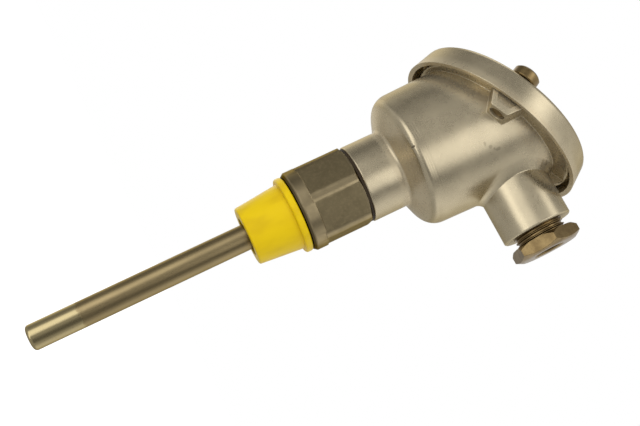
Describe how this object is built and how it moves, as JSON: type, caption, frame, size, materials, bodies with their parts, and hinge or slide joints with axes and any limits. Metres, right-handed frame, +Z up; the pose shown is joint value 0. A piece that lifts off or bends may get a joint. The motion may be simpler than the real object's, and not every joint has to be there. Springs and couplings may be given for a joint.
{
  "type": "resistance thermometer with connection head",
  "caption": "Threaded immersion thermometer: stainless probe tube, hexagonal process fitting with a slip-on thread cap, and a cast connection head with a tilted screwed cover and cable gland.",
  "frame": {"origin": "centre of the process fitting's sealing face, on the probe axis", "axes": "+Z up the probe axis to the head, +X towards the cable entry, XZ is the plane that the head is symmetric about"},
  "size_m": [0.0886, 0.0772, 0.2135],
  "materials": {
    "stainless_tube": "drawn stainless steel, satin with a polished end at the tip",
    "steel_fitting": "turned and milled stainless steel, brushed flats",
    "black_rubber": "matte elastomer",
    "yellow_plastic": "moulded polyethylene, satin",
    "cast_aluminium": "bead-blasted die casting, satin",
    "brass": "turned brass, slightly tarnished",
    "plated_steel": "nickel-plated steel",
    "ceramic": "glazed steatite",
    "wire_sleeve": "woven glass sleeve"
  },
  "bodies": {
    "housing": {"head_housing": "cast_aluminium", "process_fitting": "steel_fitting", "protection_tube": "stainless_tube", "tip_plug": "stainless_tube", "neck_seal": "black_rubber", "gland_washer": "plated_steel", "gland_seal": "black_rubber", "insert_screw_1": "brass", "insert_screw_2": "brass", "insert_spring_1": "plated_steel", "insert_spring_2": "plated_steel", "earth_screw": "brass", "earth_washer": "plated_steel"},
    "cap": {"thread_cap": "yellow_plastic"},
    "lid": {"cover": "cast_aluminium", "cover_gasket": "black_rubber"},
    "lid_screw_front": {"cover_screw_front": "brass"},
    "lid_screw_back": {"cover_screw_back": "brass"},
    "gland": {"gland_screw": "brass"},
    "insert": {"insert_sheath": "stainless_tube", "insulation_fill": "ceramic", "sensor_element": "ceramic", "conductors": "plated_steel", "insert_flange": "stainless_tube", "terminal_block": "ceramic", "terminal_clamp_1": "brass", "terminal_clamp_2": "brass", "terminal_clamp_3": "brass", "terminal_clamp_4": "brass", "lead_wire_1": "wire_sleeve", "lead_wire_2": "wire_sleeve", "lead_wire_3": "wire_sleeve", "lead_wire_4": "wire_sleeve"},
    "clamp_screw_1": {"terminal_screw_1": "plated_steel"},
    "clamp_screw_2": {"terminal_screw_2": "plated_steel"},
    "clamp_screw_3": {"terminal_screw_3": "plated_steel"},
    "clamp_screw_4": {"terminal_screw_4": "plated_steel"}
  },
  "joints": [
    {"name": "cap_slide", "type": "slide", "parent": "housing", "child": "cap", "axis": [0, 0, -1], "range_m": [0, 0.13]},
    {"name": "lid_lift", "type": "slide", "parent": "housing", "child": "lid", "axis": [-0.4258, 0, 0.9048], "range_m": [0, 0.045]},
    {"name": "lid_screw_front_turn", "type": "hinge", "parent": "lid", "child": "lid_screw_front", "pos_m": [-0.00103, -0.0315, 0.09041], "axis": [-0.4258, 0, 0.9048], "continuous": true},
    {"name": "lid_screw_back_turn", "type": "hinge", "parent": "lid", "child": "lid_screw_back", "pos_m": [-0.00103, 0.0315, 0.09041], "axis": [-0.4258, 0, 0.9048], "continuous": true},
    {"name": "gland_turn", "type": "hinge", "parent": "housing", "child": "gland", "pos_m": [0.0457, 0, 0.07925], "axis": [1, 0, 0], "continuous": true},
    {"name": "insert_travel", "type": "slide", "parent": "housing", "child": "insert", "axis": [0, 0, 1], "range_m": [0, 0.005], "stiffness_N_per_m": 1500, "springref_m": -0.006, "deforming": ["insert_spring_1", "insert_spring_2"]},
    {"name": "clamp_screw_1_turn", "type": "hinge", "parent": "insert", "child": "clamp_screw_1", "pos_m": [-0.0076, -0.0046, 0.0584], "axis": [0, 0, 1], "continuous": true},
    {"name": "clamp_screw_2_turn", "type": "hinge", "parent": "insert", "child": "clamp_screw_2", "pos_m": [0.0076, -0.0046, 0.0584], "axis": [0, 0, 1], "continuous": true},
    {"name": "clamp_screw_3_turn", "type": "hinge", "parent": "insert", "child": "clamp_screw_3", "pos_m": [-0.0076, 0.0046, 0.0584], "axis": [0, 0, 1], "continuous": true},
    {"name": "clamp_screw_4_turn", "type": "hinge", "parent": "insert", "child": "clamp_screw_4", "pos_m": [0.0076, 0.0046, 0.0584], "axis": [0, 0, 1], "continuous": true}
  ]
}
